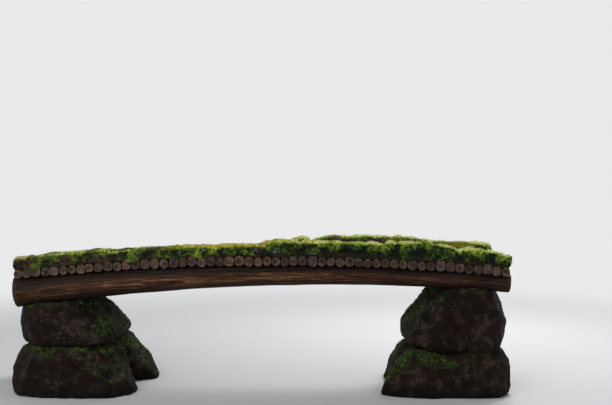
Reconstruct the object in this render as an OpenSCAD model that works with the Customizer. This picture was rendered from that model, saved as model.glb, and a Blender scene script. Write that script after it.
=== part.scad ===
// Arched log footbridge: three bowed girders on boulder abutments carry a deck of
// crosswise round logs, which holds a bed of earth, a trodden path and two rows of moss sods.
// X runs along the bridge, Y across it and Z up. The origin is on the ground under mid-span.

/* [Arch] */
// Height of the girder tops above the ground at mid-span
crown_z = 1440; // [1250:10:1800]
// Radius of the arc that the girder tops follow
deck_r = 28000; // [20000:100:36000]
// Length of the deck along that arc, from its crown to the left end
deck_left = 2840; // [2500:10:3200]
// Length of the deck along that arc, from its crown to the right end
deck_right = 2590; // [2300:10:3200]
// Mean length of the deck logs, which is the width of the deck
deck_w = 1200; // [1160:10:1500]

/* [Girders] */
// Radius of a girder at mid-span
girder_r = 128; // [110:1:132]
// Radius that a girder loses in each metre, from its butt at the left to its tip at the right
girder_taper = 12.5; // [0:0.5:14]
// Radius that a girder gains by its flare at the left end, and elsewhere by the square of the distance
girder_flare = 16; // [0:1:20]
// Distance between the centre lines of neighbouring girders
girder_pitch = 430; // [380:5:450]
// Depth hewn flat off the top of each girder
top_cut = 14; // [8:1:22]
// Depth hewn off the underside of each girder where it lies on the stones
seat_cut = 6; // [4:1:14]
// Length of girder that shows past the last deck log
girder_over = 30; // [10:5:60]
// Sideways bend of the girders, as grown
girder_bend = 14; // [0:1:24]
// Share by which a girder is out of round
girder_wave = 0.018; // [0:0.002:0.03]

/* [Deck logs] */
// Mean diameter of the deck logs
log_d = 98.8; // [88:0.2:112]
// Gap between neighbouring logs
log_gap = 2; // [1:0.5:5]
// Share by which log diameters differ from the mean
log_vary = 0.11; // [0:0.01:0.14]
// Largest depth by which a log is let down over the girders
log_sink = 18; // [6:1:22]
// Smallest depth by which a log is let down over the girders
log_sink_min = 4; // [2:1:6]
// Largest distance by which a sawn end stands out or back
log_end_vary = 14; // [0:1:24]
// Radius that a log loses over its length
log_taper = 3; // [0:0.5:5]
// Bevel of the sawn ends
log_bevel = 4; // [1:0.5:8]
// Clearance on each side of a log's saddle
saddle_clear = 4; // [2:0.5:8]

/* [Earth] */
// Depth of the earth bed over logs of mean size
bed_t = 36; // [24:1:60]
// Distance from the log ends back to the side of the earth bed
bed_inset = 26; // [22:1:45]
// Share of the log diameter that the earth leaves open below it
bed_open = 0.74; // [0.66:0.01:0.85]
// Height of the path at its middle, over the bed
path_crown = 46; // [30:1:60]
// Height of the path at its sides, over the bed
path_edge = 26; // [14:1:28]

/* [Moss sods] */
// Width of a moss sod at its foot
sod_w = 235; // [190:5:270]
// Mean height of the sods
sod_h = 118; // [90:1:150]
// Distance from the log ends back to the outer foot of a sod
sod_inset = 8; // [0:1:12]
// Distance by which the outer side of a sod swells past its foot
sod_swell = 12; // [0:1:20]
// Depth by which the outer foot of a sod hangs down over the side of the earth
sod_hang = 26; // [10:1:30]
// Share by which the height of a sod rises and falls along it
sod_lump = 0.06; // [0:0.01:0.1]
// Share of a sod's height that is left at the deepest notches
sod_end = 0.62; // [0.4:0.02:0.8]
// Gap between neighbouring sods
sod_gap = 3; // [1:0.5:8]

/* [Abutments] */
// Length of each abutment's top, along the bridge
seat_len = 670; // [600:10:1000]
// Mean height of the joints between the lower boulders and the cap boulders
joint_z = 500; // [420:10:600]
// Height by which that joint is above this at the left end, and below it at the right end
joint_step = 30; // [0:5:60]
// Distance by which the water side of a cap boulder swells past its top
cap_belly = 410; // [250:10:450]
// Mean distance by which the foot of a lower boulder reaches past the cap's top, into the water
foot_reach = 800; // [650:10:900]
// Share of that reach which a lower boulder keeps at its top
foot_keep = 0.60; // [0.5:0.01:0.8]
// Share by which that reach differs from boulder to boulder
foot_vary = 0.06; // [0:0.01:0.1]
// Distance by which the sides of a lower boulder spread from its top to its foot
foot_spread = 60; // [0:5:100]
// Distance by which the sides of the boulders swell past the cap's top
flank_reach = 110; // [60:5:160]
// Width of a cap boulder's top on each side of the middle
seat_half_w = 600; // [580:5:700]
// Distance from the end of the girders to the bank side of a cap boulder
bank_over = 60; // [20:5:120]
// Distance by which a lower boulder reaches past the cap on the bank side
foot_over = 30; // [0:5:60]
// Gap between the two lower boulders
boulder_gap = 16; // [8:2:30]
// Distance by which the bank side of a boulder leans in over its height
bank_lean = 55; // [0:5:80]
// Radius of a cap boulder's edges
cap_round = 85; // [50:5:110]
// Radius of a lower boulder's edges
foot_round = 130; // [80:5:150]
// Share of that radius by which a lower boulder is drawn in where it meets the ground
foot_tuck = 0.30; // [0:0.05:0.6]
// Largest share by which a boulder's surface is dented
boulder_dent = 0.12; // [0:0.01:0.14]

/* [Fits] */
// Clearance between wood and what it lies on
seat_clear = 0.2; // [0.1:0.1:0.5]
// Clearance between earth or moss and what it lies on
earth_clear = 0.3; // [0.1:0.1:0.6]

/* [Hidden] */
// The driving sizes are above; what follows is worked out from them.
log_groups = 13;
sod_count = 7;
deck_len = deck_left + deck_right;
log_n = round(deck_len / (log_d + log_gap));
girder_names = ["girder_front", "girder_middle", "girder_rear"];
side_names = ["front", "rear"];
end_names = ["left", "right"];
function two_digits(n) = str(n < 10 ? "0" : "", n);
group_names = [for (g = [1:log_groups]) str("deck_logs_", two_digits(g))];
sod_names = [for (side = side_names) for (k = [1:sod_count]) str("moss_sod_", side, "_", k)];
cap_names = [for (end = end_names) str("cap_boulder_", end)];
foot_names = [for (end = end_names) for (side = side_names) str("foot_boulder_", end, "_", side)];

// The arc: a place on it is a length s from the crown, and rho is the distance from its centre.
// The crown lies off the middle, so that both ends of the deck are as far from the origin.
arc_z = crown_z - deck_r;
function angle_at(s) = s / deck_r * 180 / PI;
end_x = deck_r * (sin(angle_at(deck_right)) + sin(angle_at(deck_left))) / 2;
crown_x = end_x - deck_r * sin(angle_at(deck_right));
function arc_point(rho, s) = [crown_x + rho * sin(angle_at(s)), arc_z + rho * cos(angle_at(s))];
function spread(share, over = 0) = -deck_left - over + (deck_len + 2 * over) * share;

module on_arc(rho, s) {
  translate([crown_x, 0, arc_z]) rotate([0, angle_at(s), 0]) translate([0, 0, rho]) children();
}

// A solid through closed rings of points, with a fan of triangles at each end.
// The fan starts at the middle of the ring, or at the mean of the ring's points that hub names.
function sum(v, i = 0, upto) = i < upto ? v[i] + sum(v, i + 1, upto) : 0;
function fan_start(ring, hub) = [for (i = [0:2]) len(hub) > 0
  ? sum([for (k = hub) ring[k][i]], 0, len(hub)) / len(hub)
  : (min([for (p = ring) p[i]]) + max([for (p = ring) p[i]])) / 2];
module loft(rings, hub = []) {
  n = len(rings);
  m = len(rings[0]);
  points = concat([for (ring = rings) each ring], [fan_start(rings[0], hub), fan_start(rings[n - 1], hub)]);
  walls = [for (k = [0:n - 2]) for (j = [0:m - 1]) let (i = (j + 1) % m)
    each [[k * m + j, k * m + i, (k + 1) * m + i], [k * m + j, (k + 1) * m + i, (k + 1) * m + j]]];
  first_cap = [for (j = [0:m - 1]) [n * m, (j + 1) % m, j]];
  last_cap = [for (j = [0:m - 1]) [n * m + 1, (n - 1) * m + j, (n - 1) * m + (j + 1) % m]];
  polyhedron(points, concat(walls, first_cap, last_cap), convexity = 6);
}

// Girders
girder_rings = 30;
girder_sides = 22;
// Length of one whole bend and of one whole wave, and the degrees they shift from girder to girder
bend_len = 3270;
bend_shift = 130;
wave_len = 8000;
wave_shift = 50;
function turned(s, long) = 360 * s / long;
function girder_rad(s) = girder_r - girder_taper * s / 1000 + girder_flare * pow(s / deck_left, 2);
function narrowing(s) = girder_taper / 1000 - 2 * girder_flare * s / pow(deck_left, 2);
function girder_y(g, s) = (g - 1) * girder_pitch + girder_bend * sin(turned(s, bend_len) + bend_shift * g);

// The seat is a plane that follows the underside of the girders at the middle of an abutment.
seat_x = end_x - seat_len / 2;
clip_margin = 150;
function under_z(x) = let (thick = 2 * girder_rad(x - crown_x) - top_cut)
  arc_z + sqrt(deck_r * deck_r - pow(x - crown_x, 2)) - thick;
function seat_slope(end) = let (s = end * seat_x - crown_x) 2 * narrowing(s) - s / deck_r;
function seat_z(end, x) = under_z(end * seat_x) + seat_cut + seat_slope(end) * (x - end * seat_x);
function seat_rho(end, s) = let (a = angle_at(s), m = seat_slope(end))
  (seat_z(end, crown_x) - arc_z) / (cos(a) - m * sin(a));

function girder_ring(g, s) = let (
    r = girder_rad(s),
    x = arc_point(deck_r, s).x,
    seated = abs(x) > end_x - seat_len - clip_margin)
  [for (j = [0:girder_sides - 1])
    let (
      a = 360 * (j + 0.5) / girder_sides,
      out = r * (1 + girder_wave * sin(2 * a + wave_shift * g + turned(s, wave_len))),
      rho = deck_r - (r - top_cut) + min(out * sin(a), r - top_cut),
      p = arc_point(seated ? max(rho, seat_rho(sign(x), s)) : rho, s)
    ) [p.x, girder_y(g, s) + out * cos(a), p.y]];

module girder(g) {
  color("saddlebrown")
    loft([for (k = [0:girder_rings]) girder_ring(g, spread(k / girder_rings, girder_over))]);
}

// Deck logs: diameters differ by a fixed draw, and together they fill the deck's length.
log_seed = 7;
log_sides = 48;
draw = rands(-1, 1, 4 * log_n, log_seed);
log_share = [for (i = [0:log_n - 1]) 1 + log_vary * draw[i]];
share_all = sum(log_share, 0, log_n);
log_room = deck_len - log_n * log_gap;
log_rad = [for (share = log_share) log_room * share / share_all / 2];
log_s = [for (i = [0:log_n - 1])
  2 * sum(log_rad, 0, i) + log_rad[i] + (i + 0.5) * log_gap - deck_left];
log_down = [for (i = [0:log_n - 1])
  (log_sink + log_sink_min) / 2 + (log_sink - log_sink_min) / 2 * draw[log_n + i]];
function log_rho(i) = deck_r + log_rad[i] - log_down[i] + seat_clear;
function log_end(i, side) = deck_w / 2 + log_end_vary * draw[(2 + side) * log_n + i];

function saddle_w(i) = let (r = girder_rad(log_s[i]) * (1 + girder_wave), rise = r - top_cut - log_down[i])
  2 * (sqrt(r * r - rise * rise) + saddle_clear);

module deck_log(i) {
  r = log_rad[i];
  long = log_end(i, 0) + log_end(i, 1);
  thin = r - log_taper;
  outline = [
    [0, 0], [r - log_bevel, 0], [r, log_bevel],
    [thin, long - log_bevel], [thin - log_bevel, long], [0, long]];
  color("rosybrown")
    on_arc(log_rho(i), log_s[i])
      difference() {
        translate([0, -log_end(i, 0), 0]) rotate([-90, 0, 0])
          rotate_extrude($fn = log_sides) polygon(outline);
        for (g = [0:2])
          translate([-r, girder_y(g, log_s[i]) - saddle_w(i) / 2, -2 * r])
            cube([2 * r, saddle_w(i), r + log_down[i]]);
      }
}

module log_group(g) {
  for (i = [0:log_n - 1])
    if (floor(i * log_groups / log_n) == g)
      deck_log(i);
}

// Earth bed: it lies on the logs and fills the valleys between them.
bed_top = deck_r + log_d + bed_t;
bed_low = deck_r + log_d * bed_open;
bed_half_w = deck_w / 2 - bed_inset;
bed_steps = 54;
function arc_row(rho) = [for (k = [0:bed_steps]) arc_point(rho, spread(k / bed_steps))];
function backwards(v) = [for (i = [len(v) - 1:-1:0]) v[i]];

module earth_bed() {
  color("sienna")
    difference() {
      translate([0, bed_half_w, 0]) rotate([90, 0, 0])
        linear_extrude(2 * bed_half_w)
          polygon(concat(arc_row(bed_top), backwards(arc_row(bed_low))));
      for (i = [0:log_n - 1])
        on_arc(log_rho(i), log_s[i])
          rotate([90, 0, 0])
            cylinder(r = log_rad[i] + earth_clear, h = deck_w, center = true, $fn = log_sides);
    }
}

// Path: a low crowned strip between the two rows of sods.
path_half_w = deck_w / 2 - sod_inset - sod_w - sod_gap;
path_rings = 26;
path_cols = 8;
// Height of the ripples trodden into the path, their length, and the degrees they shift across it
path_ripple = 3;
path_ripple_len = 1240;
path_ripple_shift = 140;
function path_ring(s) = let (top = [for (j = [0:path_cols])
    let (u = 2 * j / path_cols - 1, h = path_edge + (path_crown - path_edge) * cos(90 * u)
      + path_ripple * sin(turned(s, path_ripple_len) + path_ripple_shift * u))
      let (p = arc_point(bed_top + earth_clear + h, s)) [p.x, path_half_w * u, p.y]],
    foot = arc_point(bed_top + earth_clear, s))
  concat(top, [[foot.x, path_half_w, foot.y], [foot.x, -path_half_w, foot.y]]);

module path() {
  color("tan")
    loft([for (k = [0:path_rings]) path_ring(spread(k / path_rings))]);
}

// Moss sods: turves laid end to end along each edge, steep outside and sloping to the path.
sod_rings = 12;
sod_cols = 11;
// Where each turf ends, as a share of the deck, in each row
sod_ends = [
  [0, 0.188, 0.299, 0.419, 0.512, 0.747, 0.892, 1],
  [0, 0.152, 0.300, 0.490, 0.602, 0.690, 0.855, 1]
];
// Height of each turf, as a share of the mean, in each row: the rear row is worn low at the left
sod_growth = [
  [0.80, 0.70, 0.74, 0.76, 1.08, 1.29, 1.04],
  [0.38, 0.32, 0.28, 0.70, 1.20, 1.27, 1.30]
];
// Depth of the notch at each end of each turf, as a share of the deepest, in each row
sod_notches = [
  [0.75, 0.25, 0.20, 0.15, 0.40, 0.95, 0.80, 0.90],
  [0.75, 0.20, 0.15, 0.10, 0.80, 0.60, 0.25, 0.85]
];
// Where the crest lies across a sod, and the powers that make its sides, top and ends blunt
sod_crest = 0.40;
outer_blunt = 0.55;
inner_blunt = 0.95;
top_blunt = 0.72;
end_power = 8;
end_blunt = 2.4;
// Width that a sod loses at its ends and in its ripples
sod_waist = 14;
sod_ripple = 5;
// Lengths of the lumps and ripples, and the degrees they shift from row to row
lump_len = 507;
lump_shift = 90;
ripple_len = 1500;
ripple_shift = 60;
// The lip hangs over the side of the earth and stays clear of the largest log.
lip_w = bed_inset - sod_inset - earth_clear;
lip_tuck = 4;
lip_end = 0.5;
lip_room = bed_t - log_vary * log_d + log_sink_min - earth_clear;
function swollen_end(t) = pow(1 - pow(abs(t), end_power), 1 / end_blunt);
function from_end(low, t) = low + (1 - low) * swollen_end(t);
function sod_profile(row, k, s, t) = let (
    lump = 1 + sod_lump * sin(turned(s, lump_len) + lump_shift * row),
    left = 1 - (1 - sod_end) * sod_notches[row][t < 0 ? k : k + 1],
    h = sod_h * sod_growth[row][k] * from_end(left, t) * lump,
    ripple = sod_ripple * (1 + sin(turned(s, ripple_len) + ripple_shift * row)),
    w = sod_w - sod_waist * (1 - swollen_end(t)) - ripple)
  [for (j = [0:sod_cols])
    let (a = 180 * (1 - j / sod_cols),
      outer = cos(a) < 0,
      across = pow(abs(cos(a)), outer ? outer_blunt : inner_blunt) * (outer ? -sod_crest : 1 - sod_crest),
      up = pow(sin(a), top_blunt))
      [w * (sod_crest + across) - (outer ? sod_swell * sin(180 * up) : 0), h * up]];
function sod_lip(t) = let (hang = min(sod_hang, lip_room) * from_end(lip_end, t))
  [[lip_w, 0], [lip_w, -hang], [lip_tuck, -hang]];
function sod_ring(row, k, s, t) = [for (q = concat(sod_profile(row, k, s, t), sod_lip(t)))
  let (p = arc_point(bed_top + earth_clear + q.y, s)) [p.x, sod_inset - deck_w / 2 + q.x, p.y]];

module moss_sod(row, k) {
  from = spread(sod_ends[row][k]) + sod_gap / 2;
  to = spread(sod_ends[row][k + 1]) - sod_gap / 2;
  color("olivedrab")
    mirror([0, row, 0])
      loft([for (i = [0:sod_rings]) let (t = sin(180 * i / sod_rings - 90))
        sod_ring(row, k, (from + to) / 2 + (to - from) / 2 * t, t)], hub = [0, 2, sod_cols + 1]);
}

// Boulders: a cap boulder carries the girders at each end and lies across two lower boulders.
boulder_levels = [0, 0.03, 0.09, 0.18, 0.30, 0.43, 0.56, 0.68, 0.79, 0.88, 0.94, 0.98, 1];
boulder_sides = 28;
boulder_square = 0.68;
near_top_x = end_x - seat_len;
bank_x = arc_point(deck_r, spread(1, girder_over)).x + bank_over;
function joint_at(end) = joint_z - end * joint_step;
function rounding(depth, r) = let (d = min(1, depth / r)) r * (1 - sqrt(1 - (1 - d) * (1 - d)));
function squared(v) = sign(v) * pow(abs(v), boulder_square);

// Dents are a mean, three lobes and some folds, which turn as they rise.
dent_mean = 0.45;
dent_lobes = 0.25;
dent_folds = 0.30;
lobe_twist = 150;
fold_twist = 70;
function dented(a, t, turn) = let (
    lobes = dent_lobes * sin(3 * a + turn + lobe_twist * t),
    folds = dent_folds * abs(sin(2 * a - turn - fold_twist * t)))
  1 - boulder_dent * (dent_mean + lobes + folds);
// A ring of a boulder between two corners in plan.
function boulder_ring(low, high, turn, t, inset) =
  let (mid = (low + high) / 2, half = (high - low) / 2)
  [for (j = [0:boulder_sides - 1])
    let (a = 360 * j / boulder_sides, reach = half * dented(a, t, turn) - [inset, inset])
      [mid.x + reach.x * squared(cos(a)), mid.y + reach.y * squared(sin(a))]];

// Degrees by which the dents of one boulder are turned from those of the next
end_turn = 95;
row_turn = 140;

// The belly of a cap boulder is low on its water side, and some of it is left at the joint.
belly_power = 0.40;
belly_left = 0.8;
function cap_ring(end, t) = let (
    joint = joint_at(end),
    high = seat_z(end, end * seat_x) - joint,
    belly = sin(180 * pow(t, belly_power)),
    near = near_top_x - cap_round - cap_belly * max(belly, belly_left * (1 - t)),
    far = bank_x - bank_lean * (1 - t) * (1 - t),
    wide = seat_half_w + cap_round + (flank_reach - cap_round) * belly,
    inset = rounding(min(t, 1 - t) * high, cap_round))
  [for (q = boulder_ring([near, -wide], [far, wide], end_turn * end, t, inset))
    let (x = end * q.x) [x, q.y, joint + t * (seat_z(end, x) - seat_clear - joint)]];

module cap_boulder(end) {
  rings = [for (t = boulder_levels) cap_ring(end, t)];
  color("dimgray")
    loft(end > 0 ? rings : [for (ring = rings) backwards(ring)]);
}

function foot_ring(end, row, t) = let (
    joint = joint_at(end),
    turn = end_turn * end + row_turn * row,
    reach = foot_reach * (1 + foot_vary * sin(turn)) * (foot_keep + (1 - foot_keep) * (1 - t)),
    far = bank_x + foot_over - bank_lean * t * t,
    wide = seat_half_w + flank_reach + foot_spread * (1 - t),
    inset = max(rounding((1 - t) * joint, foot_round), foot_tuck * rounding(t * joint, foot_round)))
  [for (q = boulder_ring([near_top_x - reach, boulder_gap / 2], [far, wide], turn, t, inset))
    [end * q.x, q.y, t * (joint - seat_clear)]];

module foot_boulder(end, row) {
  rings = [for (t = boulder_levels) foot_ring(end, row, t)];
  color("dimgray")
    mirror([0, 1 - row, 0])
      loft(end > 0 ? rings : [for (ring = rings) backwards(ring)]);
}

for (g = [0:2])
  girder(g);
for (g = [0:log_groups - 1])
  log_group(g);
earth_bed();
path();
for (row = [0:1])
  for (k = [0:sod_count - 1])
    moss_sod(row, k);
for (end = [0:1])
  cap_boulder(2 * end - 1);
for (end = [0:1])
  for (row = [0:1])
    foot_boulder(2 * end - 1, row);
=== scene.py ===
import bpy, math, random
from mathutils import Matrix, Vector


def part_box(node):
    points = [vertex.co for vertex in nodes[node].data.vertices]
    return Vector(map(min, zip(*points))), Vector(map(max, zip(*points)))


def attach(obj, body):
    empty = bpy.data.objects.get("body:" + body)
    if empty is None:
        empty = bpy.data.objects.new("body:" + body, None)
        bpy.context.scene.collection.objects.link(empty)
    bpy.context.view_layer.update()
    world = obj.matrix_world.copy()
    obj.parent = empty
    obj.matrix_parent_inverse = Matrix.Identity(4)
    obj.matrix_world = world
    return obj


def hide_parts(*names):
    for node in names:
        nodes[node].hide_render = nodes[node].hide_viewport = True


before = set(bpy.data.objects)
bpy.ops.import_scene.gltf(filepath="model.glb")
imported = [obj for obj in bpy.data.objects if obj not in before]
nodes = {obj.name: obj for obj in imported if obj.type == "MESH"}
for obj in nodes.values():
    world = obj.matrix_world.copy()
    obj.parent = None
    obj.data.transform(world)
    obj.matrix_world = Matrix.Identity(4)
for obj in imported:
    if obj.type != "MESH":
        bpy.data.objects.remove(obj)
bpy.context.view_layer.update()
scene = bpy.context.scene

# Camera, at the photograph's angle
cameraSet = {
    "photoWide": 612,  # pixels
    "pixelsPerMetre": 92,  # at the ends of the deck logs
    "middleX": 0.482,  # metres along the bridge at the picture's middle column
    "distance": 9.24,  # from the camera to the ends of the deck logs
    "eye": 2.31,  # height over the ground
    "tilt": 1.17,  # degrees that it looks down
    "sensor": 36,
}


def makeCamera(s):
    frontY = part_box("deck_logs_07")[0].y
    bpy.ops.object.camera_add(location=(s["middleX"], frontY - s["distance"], s["eye"]),
                              rotation=(math.radians(90 - s["tilt"]), 0, 0))
    camera = bpy.context.object
    camera.name = "camera"
    camera.data.sensor_width = s["sensor"]
    camera.data.lens = s["sensor"] * s["pixelsPerMetre"] * s["distance"] / s["photoWide"]
    scene.camera = camera


makeCamera(cameraSet)
print("camera: done")


# The deck's arc: a circle through the top of the earth bed at both ends and at the crown
def readArc(endZone=0.03):
    points = [v.co for v in nodes["earth_bed"].data.vertices]
    left = min(p.x for p in points)
    right = max(p.x for p in points)
    a = max((p for p in points if p.x < left + endZone), key=lambda p: p.z)
    b = max(points, key=lambda p: p.z)
    c = max((p for p in points if p.x > right - endZone), key=lambda p: p.z)
    d = 2 * (a.x * (b.z - c.z) + b.x * (c.z - a.z) + c.x * (a.z - b.z))
    aa, bb, cc = (p.x ** 2 + p.z ** 2 for p in (a, b, c))
    x = (aa * (b.z - c.z) + bb * (c.z - a.z) + cc * (a.z - b.z)) / d
    z = (aa * (c.x - b.x) + bb * (a.x - c.x) + cc * (b.x - a.x)) / d
    return {"x": x, "z": z, "radius": math.hypot(b.x - x, b.z - z)}


arc = readArc()


def onArc(p):  # along the arc, across it, height over the earth bed
    x, z = p.x - arc["x"], p.z - arc["z"]
    return Vector((math.atan2(x, z) * arc["radius"], p.y, math.hypot(x, z) - arc["radius"]))


# Mesh tools
def pick(piece, *others):
    bpy.ops.object.select_all(action="DESELECT")
    for each in (piece, *others):
        each.select_set(True)
    bpy.context.view_layer.objects.active = piece


def modify(piece, kind, **settings):
    pick(piece)
    modifier = piece.modifiers.new(kind, kind)
    for key, value in settings.items():
        setattr(modifier, key, value)
    bpy.ops.object.modifier_apply(modifier=modifier.name)


def edit(piece, tool, faces=None, **settings):  # uses a tool on the whole mesh, or on faces chosen in code
    pick(piece)
    bpy.ops.object.mode_set(mode="EDIT")
    bpy.ops.mesh.select_mode(type="FACE")
    bpy.ops.mesh.select_all(action="DESELECT" if faces else "SELECT")
    if faces:
        bpy.ops.object.mode_set(mode="OBJECT")
        for face in piece.data.polygons:
            face.select = faces(face)
        bpy.ops.object.mode_set(mode="EDIT")
    tool(**settings)
    bpy.ops.object.mode_set(mode="OBJECT")


def addNew(tool, **settings):  # a primitive with its place and turn in its mesh
    bpy.ops.object.select_all(action="DESELECT")
    tool(**settings)
    bpy.ops.object.transform_apply()
    return bpy.context.object


def addCopy(mesh):
    piece = bpy.data.objects.new("copy", mesh.copy())
    scene.collection.objects.link(piece)
    return piece


def join(pieces):
    pick(*pieces)
    if len(pieces) > 1:
        bpy.ops.object.join()
    return bpy.context.object


def named(word):  # the nodes with this word in their names
    return sorted(name for name in nodes if word in name)


def copyNode(name):
    piece = addCopy(nodes[name].data)
    piece.data.materials.clear()
    edit(piece, bpy.ops.mesh.remove_doubles, threshold=0.00005)
    return piece


def remesh(piece, size):
    modify(piece, "REMESH", mode="VOXEL", voxel_size=size, use_smooth_shade=True)


def pairFaces(piece, flat, skew):  # triangles into quads, up to these degrees
    edit(piece, bpy.ops.mesh.tris_convert_to_quads, face_threshold=math.radians(flat),
         shape_threshold=math.radians(skew))


def furthest(points, choose, station, start=0.0):  # for each point, the highest or lowest one near it
    keys = [round((p.x - start) / station) for p in points]
    found = {}
    for key, p in zip(keys, points):
        found[key] = choose(found.get(key, p), p, key=lambda q: q.z)
    return [found[key] for key in keys]


def mark(piece, name, values, domain="POINT"):  # keeps a number or a place for each point or face
    kind = "FLOAT" if isinstance(values[0], float) else "FLOAT_VECTOR"
    made = piece.data.attributes.new(name, kind, domain).data
    if kind == "FLOAT":
        made.foreach_set("value", values)
    else:
        made.foreach_set("vector", [n for value in values for n in value])


def settle(piece, name, slotName, material, *replaced):
    piece.name = piece.data.name = name
    piece.data.materials.clear()
    piece.data.materials.append(material)
    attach(piece, "root")
    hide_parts(*replaced)
    print(name + ":", len(piece.data.polygons), "faces")


# Node tools, for materials and for geometry nodes: they work in the tree that was started last
trees = []


def link(value, socket):
    trees[-1].links.new(value, socket)


def add(kind, inputs=None, **settings):
    made = trees[-1].nodes.new(kind)
    for key, value in settings.items():
        setattr(made, key, value)
    for key, value in (inputs or {}).items():
        socket = made.inputs[key]
        if isinstance(value, bpy.types.NodeSocket):
            link(value, socket)
        else:
            socket.default_value = (*value, 1) if socket.type == "RGBA" else value
    return made


def get(kind, inputs=None, output=0, **settings):
    return add(kind, inputs, **settings).outputs[output]


def startGroup(name, kind="ShaderNodeTree", **inputs):  # a word is a socket's type, a number its first value
    trees.append(bpy.data.node_groups.new(name, kind))
    for socket, value in inputs.items():
        form = value if isinstance(value, str) else type(value).__name__.capitalize()
        made = trees[-1].interface.new_socket(socket, in_out="INPUT", socket_type="NodeSocket" + form)
        if form != value:
            made.default_value = value
    return add("NodeGroupInput").outputs


def startShape(name, **inputs):
    return startGroup(name, "GeometryNodeTree", Geometry="Geometry", **inputs)


def endGroup(**outputs):
    for name, value in outputs.items():
        form = "Float" if value.type == "VALUE" else value.type.capitalize()
        trees[-1].interface.new_socket(name, in_out="OUTPUT", socket_type="NodeSocket" + form)
    out = add("NodeGroupOutput").inputs
    for name, value in outputs.items():
        link(value, out[name])
    return trees[-1]


def useGroup(group, **inputs):
    return add("ShaderNodeGroup", inputs, node_tree=group).outputs


def calc(operation, a, b=0.0, c=0.0):
    return get("ShaderNodeMath", {0: a, 1: b, 2: c}, operation=operation)


def times(value, *others):
    for other in others:
        value = calc("MULTIPLY", value, other)
    return value


def weigh(start, weights, **parts):  # start, plus each part times its weight
    for name, part in parts.items():
        start = calc("MULTIPLY_ADD", part, weights[name], start)
    return start


def hypot(a, b):
    return calc("SQRT", calc("ADD", times(a, a), times(b, b)))


def vectorCalc(operation, a, b=(0, 0, 0)):
    return get("ShaderNodeVectorMath", {0: a, 1: b}, operation=operation)


def length(vector):
    return get("ShaderNodeVectorMath", {0: vector}, "Value", operation="LENGTH")


def scaled(vector, amount):
    return get("ShaderNodeVectorMath", {0: vector, "Scale": amount}, operation="SCALE")


def axes(vector):
    return add("ShaderNodeSeparateXYZ", {0: vector}).outputs


def combine(x=0.0, y=0.0, z=0.0):
    return get("ShaderNodeCombineXYZ", {0: x, 1: y, 2: z})


def between(value, low, high, toLow=0.0, toHigh=1.0):
    inputs = {"Value": value, "From Min": low, "From Max": high, "To Min": toLow, "To Max": toHigh}
    return get("ShaderNodeMapRange", inputs, interpolation_type="SMOOTHSTEP")


def zone(along, start, full, lastFull, end, rest=0.0):  # a stretch of the arc, soft at both ends
    return times(between(along, start, full), between(along, lastFull, end, 1.0, rest))


def noise(place, scale, detail=3.0, rough=0.55, output=0):
    inputs = {"Vector": place, "Scale": scale, "Detail": detail, "Roughness": rough}
    return get("ShaderNodeTexNoise", inputs, output)


def warp(place, amount, scale, detail):  # the colour of a cloud moves each place aside
    return vectorCalc("ADD", place, scaled(noise(place, scale, detail, 0.5, 1), amount))


def objectPlace():
    return get("ShaderNodeTexCoord", output="Object")


def attribute(name, output="Fac"):
    return get("ShaderNodeAttribute", output=output, attribute_name=name)


def ramp(factor, colours, stops):  # stops: where each named colour stands
    made = add("ShaderNodeValToRGB", {"Fac": factor})
    elements = made.color_ramp.elements
    while len(elements) < len(stops):
        elements.new(0.5)
    for element, (name, place) in zip(elements, stops.items()):
        element.position = place
        element.color = (*colours[name], 1)
    return made.outputs["Color"]


def blend(factor, a, b, kind="MIX"):
    return get("ShaderNodeMix", {0: factor, 6: a, 7: b}, 2, data_type="RGBA", blend_type=kind)


def paint(colour, *layers):  # each layer: its mask, how much it covers, its colour
    for mask, share, over in layers:
        colour = blend(times(mask, share), colour, over)
    return colour


def arcNodes(here, stretch=1.0):  # onArc, in nodes
    part = axes(vectorCalc("SUBTRACT", here, (arc["x"], 0, arc["z"])))
    along = times(calc("ARCTAN2", part["X"], part["Z"]), arc["radius"])
    height = calc("SUBTRACT", hypot(part["X"], part["Z"]), arc["radius"])
    return combine(calc("DIVIDE", along, stretch), part["Y"], height)


# Shared shader groups; a cloud's values are its scale, detail and roughness
grainSet = {
    "wander": (1.6, 2.0, 0.5), "streak": (1.0, 5.0, 0.62), "split": (0.42, 2.0, 0.5),  # clouds
    "splitWide": 0.022,
}
sawnSet = {
    "wobble": 0.018, "wobbleScale": 22.0, "wobbleDetail": 2.0,  # how far the rings are from round
    "crackDetail": 1.0, "crackFrom": (0.15, 0.40), "rim": (0.84, 0.95),  # shares of the radius
}


def arcPlaceGroup():
    startGroup("arcPlace")
    return endGroup(Place=arcNodes(objectPlace()))


def patchesGroup():
    given = startGroup("patches", Vector="Vector", Scale=5.0, Detail=4.0, Low=0.4, High=0.6)
    cloud = noise(given["Vector"], given["Scale"], given["Detail"])
    return endGroup(Mask=between(cloud, given["Low"], given["High"]))


def grainGroup(s):
    given = startGroup("grain", Vector="Vector", Long=1.2, Fine=60.0, Wander=0.02)
    shift = vectorCalc("SUBTRACT", noise(given["Vector"], *s["wander"], 1), (0.5, 0.5, 0.5))
    moved = vectorCalc("ADD", given["Vector"], scaled(shift, given["Wander"]))
    drawn = vectorCalc("MULTIPLY", moved, combine(given["Long"], given["Fine"], given["Fine"]))
    split = calc("ABSOLUTE", calc("SUBTRACT", noise(drawn, *s["split"]), 0.5))
    return endGroup(Streak=noise(drawn, *s["streak"]), Split=between(split, 0.0, s["splitWide"], 1.0, 0.0))


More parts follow.
